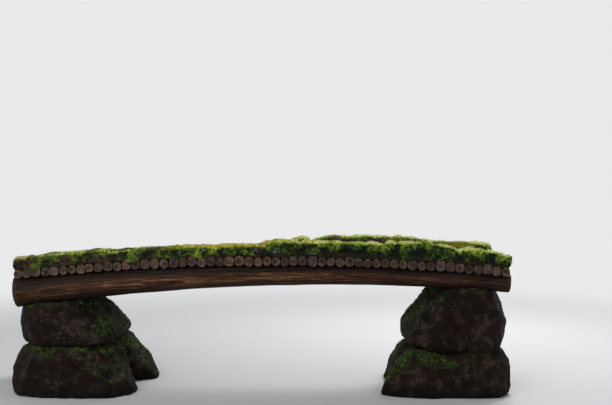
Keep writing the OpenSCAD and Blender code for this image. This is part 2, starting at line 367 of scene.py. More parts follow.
def sawnGroup(s):  # rings, cracks and rim of a sawn end, round its pith
    given = startGroup("sawnEnd", Core="Vector", Radius=0.05, Lot=0.0, Ring=0.005, Cracks=1.1, Width=0.016)
    part = axes(given["Core"])
    cloud = noise(combine(part["X"], part["Z"], given["Lot"]), s["wobbleScale"], s["wobbleDetail"])
    wobble = times(calc("SUBTRACT", cloud, 0.5), s["wobble"])
    away = calc("ADD", length(combine(part["X"], part["Z"])), wobble)
    rings = calc("SINE", times(calc("DIVIDE", away, given["Ring"]), 2 * math.pi))
    share = calc("DIVIDE", away, given["Radius"])
    angle = calc("ARCTAN2", part["X"], part["Z"])
    spoke = combine(calc("SINE", angle), calc("COSINE", angle), given["Lot"])
    cloud = noise(spoke, given["Cracks"], s["crackDetail"])
    crack = calc("LESS_THAN", calc("ABSOLUTE", calc("SUBTRACT", cloud, 0.5)), times(share, given["Width"]))
    return endGroup(Tone=between(share, 0.0, 1.0), Rings=between(rings, -1.0, 1.0),
                    Crack=times(crack, between(share, *s["crackFrom"])), Rim=between(share, *s["rim"]))


arcPlace = arcPlaceGroup()
patches = patchesGroup()
grain = grainGroup(grainSet)
sawnEnd = sawnGroup(sawnSet)


def patch(place, scale, detail, low, high):
    return useGroup(patches, Vector=place, Scale=scale, Detail=detail, Low=low, High=high)["Mask"]


# Geometry node groups
cushionSet = {
    "stretch": 1.25, "warp": (0.09, 9.0, 2.0),  # amount, scale, detail
    "smoothness": 0.35, "rise": 0.3, "hollow": (0.45, 0.80),
}


def pushOut(geometry, amount):  # moves a surface along its normals
    offset = scaled(get("GeometryNodeInputNormal"), amount)
    return get("GeometryNodeSetPosition", {"Geometry": geometry, "Offset": offset})


def markField(geometry, name, value):
    return get("GeometryNodeStoreNamedAttribute", {"Geometry": geometry, "Name": name, "Value": value},
               data_type="FLOAT", domain="POINT")


def roughenTree():
    given = startShape("roughen", Size=0.1, Amount=0.01, Stretch=1.0, Detail=2.0, Middle=0.5, Seed=0.0)
    place = arcNodes(get("GeometryNodeInputPosition"), given["Stretch"])
    cloud = get("ShaderNodeTexNoise", {"Vector": place, "W": given["Seed"], "Detail": given["Detail"],
                                       "Scale": calc("DIVIDE", 1.0, given["Size"])}, noise_dimensions="4D")
    push = times(calc("SUBTRACT", cloud, given["Middle"]), given["Amount"])
    return endGroup(Geometry=pushOut(given["Geometry"], push))


def cushionTree(s):  # rounded cushions, with the hollows between them marked for painted shade
    given = startShape("cushions", Size=0.08, Amount=0.02, Seed=0.0)
    place = arcNodes(get("GeometryNodeInputPosition"), s["stretch"])
    cell = get("ShaderNodeTexVoronoi", {"Vector": warp(place, *s["warp"]), "W": given["Seed"],
                                        "Scale": calc("DIVIDE", 1.0, given["Size"]),
                                        "Smoothness": s["smoothness"]},
               "Distance", voronoi_dimensions="4D", feature="SMOOTH_F1")
    dome = calc("SUBTRACT", s["rise"], times(cell, cell))
    moved = pushOut(given["Geometry"], times(dome, given["Amount"]))
    return endGroup(Geometry=markField(moved, "hollow", between(cell, *s["hollow"])))


def scatterTree():
    given = startShape("scatter", Shape="Object", Density=8000.0, Seed=1, Smallest=0.6, Largest=1.3, Tilt=0.5,
                       Bare=-2.0, Full=-1.5, Upright=0.0, Where="String")
    up = axes(get("GeometryNodeInputNormal"))["Z"]
    ground = markField(given["Geometry"], "up", up)  # a copied shape keeps it
    field = add("GeometryNodeInputNamedAttribute", {"Name": given["Where"]}, data_type="FLOAT").outputs
    where = get("GeometryNodeSwitch", {"Switch": field["Exists"], "False": 1.0, "True": field["Attribute"]},
                input_type="FLOAT")
    density = times(given["Density"], between(up, given["Bare"], given["Full"]), where)
    points = add("GeometryNodeDistributePointsOnFaces", {"Mesh": ground, "Density": density,
                                                         "Seed": given["Seed"]}).outputs
    shape = get("GeometryNodeObjectInfo", {"Object": given["Shape"]}, "Geometry")
    size = get("FunctionNodeRandomValue", {2: given["Smallest"], 3: given["Largest"]}, 1)
    facing = vectorCalc("ADD", points["Normal"], combine(z=given["Upright"]))
    aim = get("FunctionNodeAlignRotationToVector", {"Vector": facing}, axis="Z")
    tilt = given["Tilt"]
    less = times(tilt, -1.0)
    turn = get("FunctionNodeRandomValue", {0: combine(less, less, -math.pi), 1: combine(tilt, tilt, math.pi),
                                           "Seed": 3}, data_type="FLOAT_VECTOR")
    turned = get("FunctionNodeRotateRotation", {0: aim, 1: turn}, rotation_space="LOCAL")
    placed = get("GeometryNodeInstanceOnPoints", {"Points": points["Points"], "Instance": shape,
                                                  "Rotation": turned, "Scale": size})
    both = add("GeometryNodeJoinGeometry")
    link(get("GeometryNodeRealizeInstances", {"Geometry": placed}), both.inputs[0])
    link(ground, both.inputs[0])
    return endGroup(Geometry=both.outputs[0])


def grow(piece, tree, **values):
    pick(piece)
    modifier = piece.modifiers.new(tree.name, "NODES")
    modifier.node_group = tree
    for item in tree.interface.items_tree:
        if item.in_out == "INPUT" and item.name in values:
            modifier[item.identifier] = values[item.name]
    bpy.ops.object.modifier_apply(modifier=modifier.name)


roughen = roughenTree()
cushions = cushionTree(cushionSet)
scatter = scatterTree()
print("node groups: done")


def roughenBy(piece, *settings):
    for each in settings:
        grow(piece, roughen, **each)


def newMaterial(name, roughness, specular=0.5):
    material = bpy.data.materials.new(name)
    material.use_nodes = True
    trees.append(material.node_tree)
    shader = trees[-1].nodes["Principled BSDF"].inputs
    shader["Roughness"].default_value = roughness
    shader["Specular IOR Level"].default_value = specular
    return material


def finishMaterial(material, colour, height, distance, strength):
    shader = trees[-1].nodes["Principled BSDF"].inputs
    link(colour, shader["Base Color"])
    bump = get("ShaderNodeBump", {"Height": height, "Strength": strength, "Distance": distance})
    link(bump, shader["Normal"])
    return material


def cloddy(place, s):  # a cloud of grit, and its sum with a cloud of clods
    grit = noise(place, *s["grit"])
    clod = times(noise(place, *s["clod"]), s["clodShare"])
    return grit, calc("MULTIPLY_ADD", grit, s["gritShare"], clod)


# Moss
mossSet = {
    "shade": (0.014, 0.015, 0.010),
    "deep": (0.036, 0.060, 0.018),
    "green": (0.114, 0.176, 0.025),
    "bright": (0.365, 0.450, 0.032),
    "pale": (0.760, 0.765, 0.370),
    "gold": (0.560, 0.410, 0.025),
    "dead": (0.066, 0.038, 0.027),
    "straw": (0.340, 0.270, 0.130),
    "cool": (0.85, 1.04, 0.92), "plain": (1, 1, 1), "warm": (1.07, 1.0, 0.76),  # how the green turns
    "tones": {"shade": 0.04, "deep": 0.26, "green": 0.50, "bright": 0.74, "pale": 1.0},
    "turns": {"cool": 0.36, "plain": 0.50, "warm": 0.64}, "turnCloud": (4.5, 3.0),
    "coolAt": (0.7, 1.3), "cooler": -0.09,  # along the arc; how far the turn shifts there
    "crest": (0.0064, 0.032), "foot": (0.065, 0.135),  # how far below its crest a sod gets a painted highlight, and where its foot gets painted shade
    "sun": (-0.60, 0.55, 0.25, 0.39),  # along the arc, and how bright the painted sunlight on the crest is there
    "start": -0.03,
    "light": {"tips": 0.20, "clump": 0.24, "tuft": 0.24, "grain": 0.24, "up": 0.24, "tip": 0.12,
              "hollow": -0.38, "foot": -0.18, "far": 0.06, "fresh": 0.09},  # what each adds to the brightness: tips, up and far are painted light, hollow and foot are painted shade
    "clump": (8.0, 3.0, 0.42, 0.58), "tuft": (32.0, 3.0, 0.40, 0.60),  # patches: scale, detail, from, full
    "dry": (42.0, 2.0, 0.56, 0.66), "dryTips": 0.6,
    "grain": (120.0, 3.0, 0.6),
    "farY": (0.2, 0.4), "farX": (0.3, 0.5),  # the second row is sunnier on the right
    "fresh": (-1.02, -0.92, -0.32, -0.12),  # stretches of the arc: starts, full, still full, ends
    "golden": (-1.32, -1.02, -0.07, 0.13, 0.15),
    "goldCloud": (11.0, 6.0, 0.70), "goldHold": (0.38, 0.53, 0.15, 1.0), "goldClumps": (0.6, 0.4),
    "brownCloud": (5.0, 7.0, 0.66), "brownHold": (0.63, 0.74, 0.0, 0.85),
    "brownAt": (-1.77, -0.87, 1.0, 0.0), "inside": (-0.05, 0.0, 1.0, 0.0),
    "brown": {"left": 0.16, "inner": 0.14, "crest": -0.03, "far": 0.05},
    "rows": {"front": (-1, 0.45), "rear": (1, 0.25)},  # which side, and from how far off the middle line
    "spotTufts": (0.6, 0.35), "spotCover": (0.4, 0.5),
    "fuzz": (240.0, 4.0), "bump": (0.004, 0.7),
}
mossSpots = (  # clumps of their own: along the arc, height over the earth bed, half sizes, row, colour
    (0.021, 0.030, 0.062, 0.048, "front", (0.120, 0.220, 0.120)),  # grey-green
    (-0.181, 0.038, 0.095, 0.030, "front", (0.150, 0.135, 0.095)),  # dry
    (-1.335, 0.040, 0.110, 0.075, "front", (0.024, 0.020, 0.015)),  # bare hollow
    (0.430, 0.020, 0.085, 0.052, "front", (0.110, 0.200, 0.045)),  # light
    (-0.761, 0.036, 0.030, 0.016, "front", (0.270, 0.210, 0.220)),  # lichen
    (-1.021, 0.018, 0.022, 0.012, "front", (0.300, 0.300, 0.270)),
    (2.180, 0.080, 0.150, 0.070, "rear", (0.430, 0.400, 0.030)),  # golden
    (0.700, 0.105, 0.110, 0.040, "rear", (0.130, 0.075, 0.055)),  # dead
    (1.230, 0.100, 0.080, 0.035, "rear", (0.130, 0.075, 0.055)),
    (1.800, 0.060, 0.200, 0.045, "rear", (0.090, 0.058, 0.045)),
)
spotSet = {"fray": 1.1, "frayScale": 38.0, "edge": (1.05, 1.65, 1.0, 0.0)}


def spotGroup(s):
    given = startGroup("spot", Vector="Vector", Along=0.0, Height=0.0, Wide=0.1, Tall=0.1, Side=1.0, From=0.0)
    part = axes(given["Vector"])
    x = calc("DIVIDE", calc("SUBTRACT", part["X"], given["Along"]), given["Wide"])
    z = calc("DIVIDE", calc("SUBTRACT", part["Z"], given["Height"]), given["Tall"])
    fray = times(noise(given["Vector"], s["frayScale"]), s["fray"])
    away = calc("ADD", hypot(x, z), fray)
    row = calc("GREATER_THAN", times(part["Y"], given["Side"]), given["From"])
    return endGroup(Mask=times(between(away, *s["edge"]), row))


spot = spotGroup(spotSet)


def mossMaterial(s, spots):
    material = newMaterial("moss", 0.9, 0.12)
    place = useGroup(arcPlace)["Place"]
    along, across = axes(place)["X"], axes(place)["Y"]
    below, tip = attribute("below"), attribute("tip")
    crest = between(below, *s["crest"], 1.0, 0.0)
    clump = patch(place, *s["clump"])
    tuft = patch(place, *s["tuft"])
    far = times(between(across, *s["farY"]), between(along, *s["farX"]))
    # brightness: painted highlight on the crest and its tips, on faces that look up and on the rear row's
    # right; painted shade in the hollows and at the foot; clumps, tufts, grain and fresh stretches are the
    # moss's own tone
    light = calc("MULTIPLY_ADD", crest, between(along, *s["sun"]), s["start"])
    light = weigh(light, s["light"], tips=times(crest, tip), clump=clump, tuft=tuft,
                  grain=noise(place, *s["grain"]), up=attribute("up"), tip=tip,
                  hollow=attribute("hollow"), foot=between(below, *s["foot"]), far=far,
                  fresh=zone(along, *s["fresh"]))
    turn = calc("MULTIPLY_ADD", between(along, *s["coolAt"]), s["cooler"], noise(place, *s["turnCloud"]))
    colour = blend(1.0, ramp(light, s, s["tones"]), ramp(turn, s, s["turns"]), "MULTIPLY")
    # golden crest: partly the moss's own golden colour, partly painted highlight where the crest is lit
    golden = times(zone(along, *s["golden"]), times(crest, calc("MULTIPLY_ADD", clump, *s["goldClumps"])),
                   between(noise(place, *s["goldCloud"]), *s["goldHold"]))
    brown = weigh(noise(place, *s["brownCloud"]), s["brown"], left=between(along, *s["brownAt"]),
                  inner=between(attribute("outer"), *s["inside"]), crest=crest, far=far)
    colour = paint(colour, (patch(place, *s["dry"]), times(tip, s["dryTips"]), s["straw"]),
                   (golden, 1.0, s["gold"]), (between(brown, *s["brownHold"]), 1.0, s["dead"]))
    for at, height, wide, tall, row, own in spots:
        side, first = s["rows"][row]
        mask = useGroup(spot, Vector=place, Along=at, Height=height, Wide=wide, Tall=tall, Side=side,
                        From=first)["Mask"]
        own = blend(calc("MULTIPLY_ADD", tuft, *s["spotTufts"]), s["shade"], own)
        colour = paint(colour, (mask, calc("MULTIPLY_ADD", tuft, *s["spotCover"]), own))
    return finishMaterial(material, colour, noise(place, *s["fuzz"]), *s["bump"])


moss = mossMaterial(mossSet, mossSpots)

sprigSet = {
    "spikes": 3, "radius": 0.0032, "length": 0.017, "lengths": (0.75, 1.2),
    "lean": 34, "leans": (0.3, 1), "seed": 5,  # degrees
}


def makeSprig(s):
    draw = random.Random(s["seed"])
    made = []
    for i in range(s["spikes"]):
        length = s["length"] * draw.uniform(*s["lengths"])
        spike = addNew(bpy.ops.mesh.primitive_cone_add, vertices=3, radius1=s["radius"], radius2=0,
                       depth=length, location=(0, 0, length / 2), rotation=(0, 0, draw.uniform(0, 6)))
        lean = Matrix.Rotation(math.radians(s["lean"] * draw.uniform(*s["leans"])), 4, "X")
        spike.data.transform(Matrix.Rotation(math.radians(360 * i / s["spikes"]), 4, "Z") @ lean)
        made.append(spike)
    sprig = join(made)
    sprig.name = "sprig"
    top = max(v.co.z for v in sprig.data.vertices)
    mark(sprig, "tip", [max(0.0, v.co.z) / top for v in sprig.data.vertices])
    return sprig


sprig = makeSprig(sprigSet)

sodSet = {
    "voxel": 0.010,
    "station": 0.02,  # metres along the arc over which the crest is read
    "full": 0.040,  # height over the earth from which a point moves with the crest
    "swell": {"Size": 0.16, "Amount": 0.050, "Middle": 0.72, "Seed": 1.5},
    "cushions": {"Size": 0.080, "Amount": 0.036},
    "small": {"Size": 0.034, "Amount": 0.014, "Detail": 1.0, "Seed": 9.0},
    "knobs": {"Size": 0.020, "Amount": 0.008, "Seed": 4.0},
    "sprigs": {"Density": 5600.0, "Upright": 0.35, "Bare": -0.8, "Full": -0.4},
    "endZone": 0.080, "grownIn": 0.028, "grownTop": 0.35, "endHigh": 0.08,  # a sod's foot grows into the next
    "waves": 5, "waveRate": (0.5, 1.5), "waveHigh": (0.5, 1), "seed": 11,
    "edge": 0.566, "edgeSoft": 0.012, "droopFrom": 0.045, "droopSize": 0.11,  # where it hangs over the earth
    "droop": 0.056, "droopOut": 0.024, "tongues": (0.2, 0.4), "curl": 1.5,  # the least and the mean
    "looseFrom": -0.17, "looseTo": -1.17, "looseDown": 0.4, "looseOut": 0.8,  # more towards the left end
    "creep": 0.055, "creepDeep": 0.060, "creepSize": 0.09, "creeps": (0.1, 0.35),  # over the path
}
crestMoves = {  # how far the crest is raised, by its place along the arc
    "front": ((1.10, 0), (1.28, 0.008), (1.72, 0.008), (1.80, 0), (2.40, 0), (2.54, -0.030), (2.60, -0.042)),
    "rear": ((-2.70, -0.016), (-0.24, -0.020), (-0.18, -0.042), (-0.10, -0.012), (-0.03, 0), (0.14, 0),
             (0.23, 0.020), (0.30, 0.036), (0.36, 0.022), (0.41, -0.020), (0.43, -0.050), (0.50, -0.052),
             (0.58, -0.020), (0.65, 0.004), (0.80, 0), (1.80, 0), (1.92, -0.028), (2.05, -0.026),
             (2.20, -0.008), (2.30, 0)),
}


def moveCrest(piece, moves, s):
    for vertex in piece.data.vertices:
        along, _, height = onArc(vertex.co)
        for (start, low), (end, high) in zip(moves, moves[1:]):
            if start <= along < end:
                raised = low + (high - low) * (along - start) / (end - start)
                vertex.co.z += raised * min(1, max(0, height / s["full"]))


def markSod(piece, s):  # how far each point lies below its sod's crest, and outside it
    points = [onArc(v.co) for v in piece.data.vertices]
    tops = furthest(points, max, s["station"])
    mark(piece, "below", [top.z - p.z for top, p in zip(tops, points)])
    mark(piece, "outer", [abs(p.y) - abs(top.y) for top, p in zip(tops, points)])


def closeEnds(piece, s, deckEnds):  # neighbours grow into each other
    alongs = [onArc(v.co).x for v in piece.data.vertices]
    for side, end in ((-1, min(alongs)), (1, max(alongs))):
        if min(abs(end - deckEnd) for deckEnd in deckEnds) > s["endZone"]:
            for vertex, along in zip(piece.data.vertices, alongs):
                share = 1 - abs(along - end) / s["endZone"]
                if share > 0:
                    foot = max(s["grownTop"], 1 - onArc(vertex.co).z / s["endHigh"])
                    vertex.co.x += side * s["grownIn"] * share * foot


def makeWave(s, seed, size):  # a wandering line along each side, from -1 to 1
    draw = random.Random(seed)
    waves = [(draw.uniform(*s["waveRate"]) / size, draw.uniform(0, 6), draw.uniform(*s["waveHigh"]))
             for _ in range(s["waves"])]
    total = sum(high for _, _, high in waves)
    return lambda along, side: sum(high * math.sin(rate * along * 2 + shift * (side + 2))
                                   for rate, shift, high in waves) / total


def droopEdge(piece, s):  # the outer edge hangs in tongues over the earth, and over the logs at the left
    wave = makeWave(s, s["seed"], s["droopSize"])
    least, mean = s["tongues"]
    for vertex in piece.data.vertices:
        along, across, height = onArc(vertex.co)
        if abs(across) > s["edge"] and height < s["droopFrom"]:
            side = 1 if across > 0 else -1
            share = (1 - max(height, 0) / s["droopFrom"]) ** s["curl"]
            share *= min(1, (abs(across) - s["edge"]) / s["edgeSoft"])
            hang = share * max(least, mean + wave(along, side))
            loose = min(1, max(0, (along - s["looseFrom"]) / (s["looseTo"] - s["looseFrom"])))
            vertex.co.z -= s["droop"] * hang * (1 - s["looseDown"] * (1 - loose))
            vertex.co.y += side * s["droopOut"] * hang * (1 - s["looseOut"] * (1 - loose))


def creepEdge(piece, s):  # the inner edge spreads over the path
    wave = makeWave(s, s["seed"] + 1, s["creepSize"])
    least, mean = s["creeps"]
    inside = min(abs(v.co.y) for v in piece.data.vertices)
    for vertex in piece.data.vertices:
        along, across, height = onArc(vertex.co)
        share = 1 - (abs(across) - inside) / s["creepDeep"]
        if share > 0 and height > 0:
            side = 1 if across > 0 else -1
            vertex.co.y -= side * s["creep"] * share * max(least, mean + wave(along, side))


def makeSods(s):
    ends = [onArc(v.co).x for v in nodes["earth_bed"].data.vertices]
    for index, name in enumerate(named("moss_sod")):
        piece = copyNode(name)
        remesh(piece, s["voxel"])
        moveCrest(piece, crestMoves["front" if "front" in name else "rear"], s)
        markSod(piece, s)
        closeEnds(piece, s, (min(ends), max(ends)))
        grow(piece, roughen, **s["swell"])
        grow(piece, cushions, **s["cushions"])
        droopEdge(piece, s)
        creepEdge(piece, s)
        roughenBy(piece, s["small"], s["knobs"])
        grow(piece, scatter, Shape=sprig, Seed=index + 1, **s["sprigs"])
        settle(piece, name.replace("moss_sod", "moss"), "moss", moss, name)


makeSods(sodSet)
print("moss: done")

# Deck logs
logSet = {
    "sides": 22, "butt": 0.050, "tip": 0.0475, "length": 1.22, "bevel": 0.0035, "cuts": 12,
    "rings": (0.006, 0.008, 0.010, 0.010),
    "chamfer": 0.004, "flat": 0.0004,  # of a node's log ends
    "facing": 0.9,  # from which a face counts as part of an end
    "square": (2.0, 3.0), "taller": (1.0, 1.14),  # how far the outlines are from round
    "gap": (-1.25, -0.60), "gapTaller": (1.12, 1.30),  # where the earth has sunk and uncovered them
    "outline": {"Size": 0.070, "Amount": 0.022, "Detail": 1.0},  # makes each outline its own
    "bark": {"Size": 0.018, "Amount": 0.005},
    "smooth": 40, "seed": 3,
}
logColours = {
    "heart": (0.032, 0.018, 0.013),
    "ember": (0.420, 0.170, 0.055),
    "grey": (0.250, 0.195, 0.160),
    "warm": (0.380, 0.205, 0.110),
    "rim": (0.042, 0.029, 0.024),
    "paleRim": (0.400, 0.340, 0.270),
    "crack": (0.006, 0.004, 0.003),
    "bark": (0.085, 0.056, 0.043),
    "barkLow": (0.030, 0.019, 0.014),
    "lichen": (0.190, 0.185, 0.140),
    "soil": (0.062, 0.044, 0.035),
    "pith": 0.008, "pithTurn": 40.0,  # how far it lies off the middle, and how its side turns with the lot
    "fineRing": 0.0045, "broadRing": 0.018,
    "sapLot": 7.3, "emberLot": 5.7, "rimLot": 3.3,  # share out the kinds of log
    "embers": 0.30, "emberAt": (0.10, 0.60, 1.0, 0.0), "paleRims": (0.55, 0.75),
    "bare": (19.0, 2.0, 0.50, 0.62), "stain": (17.0, 4.0, 0.46, 0.60),  # patches: scale, detail, from, full
    "soils": (5.0, 5.0, 0.47, 0.62), "lichens": (30.0, 5.0, 0.62, 0.70),
    "speckle": (90.0, 4.0, 0.7), "speckled": (0.35, 0.70, 0.0, 0.6),
    "soiledAndShaded": (1.10, 1.35, 1.95, 2.20),  # the stretch of the arc where earth has run down over the ends, darkened there also as painted shade
    "skin": {"Long": 5.0, "Fine": 75.0}, "streaks": (0.35, 0.65),
    "brightness": (0.62, 1.25),  # from the darkest log to the palest
    "shares": {"broad": 0.70, "fine": 0.30, "ember": 0.32, "outline": 0.60, "stain": 0.65, "split": 0.8,
               "lichen": 0.5},  # how much each layer covers
    "soilBy": {"patch": 0.40, "zone": 0.30},
    "relief": {"rings": 0.25, "crack": -1.0, "speckle": 0.6}, "bump": (0.004, 0.8),
}


def logMaterial(s):
    material = newMaterial("deckLog", 0.86, 0.12)
    place = useGroup(arcPlace)["Place"]
    lot, core, sawn = attribute("lot"), attribute("core", "Vector"), attribute("sawn")
    turn = times(lot, s["pithTurn"])
    aside = scaled(combine(x=calc("SINE", turn), z=calc("COSINE", turn)), s["pith"])
    pith = vectorCalc("ADD", core, aside)
    end = useGroup(sawnEnd, Core=pith, Lot=lot, Ring=s["fineRing"])
    broad = useGroup(sawnEnd, Core=pith, Lot=lot, Ring=s["broadRing"])
    outline = useGroup(sawnEnd, Core=core, Lot=lot)["Rim"]
    own = lambda count: calc("FRACT", times(lot, count))  # a log's own share
    sap = blend(own(s["sapLot"]), s["grey"], s["warm"])
    ember = times(between(end["Tone"], *s["emberAt"]), calc("LESS_THAN", own(s["emberLot"]), s["embers"]))
    paleRim = times(between(own(s["rimLot"]), *s["paleRims"]), patch(place, *s["bare"]))
    speckle = noise(place, *s["speckle"])
    part = axes(place)
    # earth stains in patches, and along the right stretch also painted shade
    soil = weigh(0.0, s["soilBy"], patch=patch(place, *s["soils"]), zone=zone(part["X"], *s["soiledAndShaded"]))
    share = s["shares"]
    colour = paint(blend(end["Tone"], s["heart"], sap),
                   (broad["Rings"], share["broad"], s["heart"]),
                   (end["Rings"], share["fine"], s["heart"]),
                   (ember, share["ember"], s["ember"]),
                   (outline, share["outline"], blend(paleRim, s["rim"], s["paleRim"])),
                   (end["Crack"], 1.0, s["crack"]),
                   (between(speckle, *s["speckled"]), 1.0, s["rim"]),
                   (patch(place, *s["stain"]), share["stain"], s["heart"]),
                   (soil, 1.0, s["soil"]))
    skin = useGroup(grain, Vector=combine(part["Y"], part["X"], part["Z"]), **s["skin"])
    bark = blend(between(skin["Streak"], *s["streaks"]), s["barkLow"], s["bark"])
    colour = blend(sawn, paint(bark, (skin["Split"], share["split"], s["crack"])), colour)
    darkest, palest = s["brightness"]
    shade = get("ShaderNodeMapRange", {"Value": lot, "To Min": darkest, "To Max": palest})
    colour = blend(1.0, colour, combine(shade, shade, shade), "MULTIPLY")
    colour = paint(colour, (patch(place, *s["lichens"]), share["lichen"], s["lichen"]))
    height = times(weigh(0.0, s["relief"], rings=end["Rings"], crack=end["Crack"]), sawn)
    height = weigh(calc("ADD", height, skin["Streak"]), s["relief"], speckle=speckle)
    return finishMaterial(material, colour, height, *s["bump"])


def masterLog(s):
    log = addNew(bpy.ops.mesh.primitive_cone_add, vertices=s["sides"], radius1=s["butt"], radius2=s["tip"],
                 depth=s["length"], end_fill_type="NGON", rotation=(-math.pi / 2, 0, 0))
    isEnd = lambda face: abs(face.normal.y) > s["facing"]
    isRound = lambda face: isEnd(face) and len(face.vertices) > 4
    edit(log, bpy.ops.mesh.bevel, isEnd, offset=s["bevel"], segments=2, affect="EDGES")
    for ring in s["rings"]:
        edit(log, bpy.ops.mesh.inset, isRound, thickness=ring, use_individual=True)
    edit(log, bpy.ops.mesh.poke, isRound)
    for i in range(1, s["cuts"]):
        at = (0, s["length"] * (i / s["cuts"] - 0.5), 0)
        edit(log, bpy.ops.mesh.bisect, plane_co=at, plane_no=(0, 1, 0))
    sawnFrom = s["length"] / 2 - s["flat"]
    isSawn = lambda face: isEnd(face) and abs(face.center.y) > sawnFrom
    mark(log, "core", [v.co for v in log.data.vertices])
    mark(log, "sawn", [float(isSawn(face)) for face in log.data.polygons], "FACE")
    return log


def readLogs(name, s):  # where each log of a node lies: both ends' middles and radii
    edit(copyNode(name), bpy.ops.mesh.separate, type="LOOSE")
    found = []
    for part in list(bpy.context.selected_objects):
        points = [v.co for v in part.data.vertices]
        ends = []
        for side in (-1, 1):
            tip = max(side * p.y for p in points)
            ring = [p for p in points if side * p.y > tip - s["flat"]]
            xs, zs = [p.x for p in ring], [p.z for p in ring]
            middle = Vector(((max(xs) + min(xs)) / 2, side * tip, (max(zs) + min(zs)) / 2))
            ends.append((middle, (max(zs) - min(zs)) / 2 + s["chamfer"]))
        found.append(ends)
        bpy.data.objects.remove(part)
    return sorted(found, key=lambda ends: ends[0][0].x)


def outOfRound(mesh, draw, s, place):  # squarish, and taller where the earth gives way
    first, last = s["gap"]
    power = draw.uniform(*s["square"])
    taller = draw.uniform(*s["gapTaller" if first < place < last else "taller"])
    for vertex in mesh.vertices:
        far = math.hypot(vertex.co.x, vertex.co.z)
        if far > 0:
            across, up = abs(vertex.co.x) / far, abs(vertex.co.z) / far
            wider = (across ** power + up ** power) ** (-1 / power)
            vertex.co.x *= wider
            vertex.co.z *= wider * (taller if vertex.co.z > 0 else 1)


def makeLogs(s):
    material = logMaterial(logColours)
    master = masterLog(s)
    draw = random.Random(s["seed"])
    for name in named("deck_logs"):
        made = []
        for (front, frontRadius), (rear, rearRadius) in readLogs(name, s):
            log = addCopy(master.data)
            turn = 0 if frontRadius > rearRadius else math.pi
            wide = (frontRadius + rearRadius) / (s["butt"] + s["tip"])
            long = (rear.y - front.y) / s["length"]
            tilt = Vector((0, 1, 0)).rotation_difference(rear - front).to_matrix().to_4x4()
            log.data.transform(Matrix.Rotation(turn, 4, "Z") @ Matrix.Rotation(draw.uniform(0, 6), 4, "Y"))
            outOfRound(log.data, draw, s, front.x)
            log.data.transform(Matrix.Translation((front + rear) / 2) @ tilt
                               @ Matrix.Diagonal((wide, long, wide, 1)))
            mark(log, "lot", [draw.random()] * len(log.data.vertices))
            made.append(log)
        piece = join(made)
        roughenBy(piece, s["outline"], s["bark"])
        pick(piece)
        bpy.ops.object.shade_smooth_by_angle(angle=math.radians(s["smooth"]))
        settle(piece, name.replace("deck_logs", "logs"), "log_wood", material, name)
    bpy.data.objects.remove(master)


makeLogs(logSet)
print("deck logs: done")

# Girders
girderSet = {
    "levels": 2, "flat": 40, "skew": 60,  # degrees, for pairing triangles
    "waves": {"Size": 0.25, "Amount": 0.018, "Stretch": 2.0, "Seed": 2.0},
    "grooves": {"Size": 0.030, "Amount": 0.013, "Stretch": 22.0, "Seed": 1.0},
    "splits": {"Size": 0.014, "Amount": 0.005, "Stretch": 22.0, "Seed": 7.0},
    "station": 0.2,  # metres along the arc over which the underside is read
    "sawnDeep": 0.006, "facing": 0.8,  # what counts as a sawn end
    "lots": (5.3, 0.7, 2.6),  # from girder to girder, its left end, its right end
}
girderColours = {
    "low": (0.008, 0.004, 0.0025),
    "mid": (0.044, 0.019, 0.010),
    "warm": (0.152, 0.062, 0.023),
    "pale": (0.335, 0.180, 0.095),
    "crack": (0.004, 0.002, 0.0015),
    "shadowBand": (0.018, 0.010, 0.007),
    "knot": (0.020, 0.008, 0.004),
    "tones": {"low": 0.36, "mid": 0.46, "warm": 0.55, "pale": 0.66},
    "skin": {"Long": 1.5, "Fine": 64.0, "Wander": 0.05}, "fine": {"Long": 5.0, "Fine": 210.0, "Wander": 0.02},
    "toneBy": {"skin": 0.6, "fine": 0.4}, "stained": (0.45, 0.25),
    "shares": {"broad": 0.5, "darkenedZone": 0.55, "split": 0.85},  # how much each layer covers
    "broad": (1.7, 3.0, 0.38, 0.62), "stain": (9.0, 4.0, 0.40, 0.62),  # patches: scale, detail, from, full
    "knotSpread": (4.0, 7.0, 7.0), "knotSize": (0.07, 0.15, 1.0, 0.0), "knots": 0.5,
    "shadow": (0.30, 0.44, 0.9, 0.0), "belly": (0.64, 0.93, 0.0, 0.9),  # shares of its depth, from the top: painted shadow under the logs, and painted shade on the underside
    "shadeRight": (0.50, 1.90), "shadeLeft": (-2.60, -2.05, 1.0, 0.0),  # along the arc, where painted shade darkens both ends
    "end": {"Radius": 0.17, "Ring": 0.006, "Cracks": 0.9, "Width": 0.009},
    "relief": {"split": -1.0, "fine": 0.5, "knot": 0.6}, "bump": (0.006, 0.8),
}


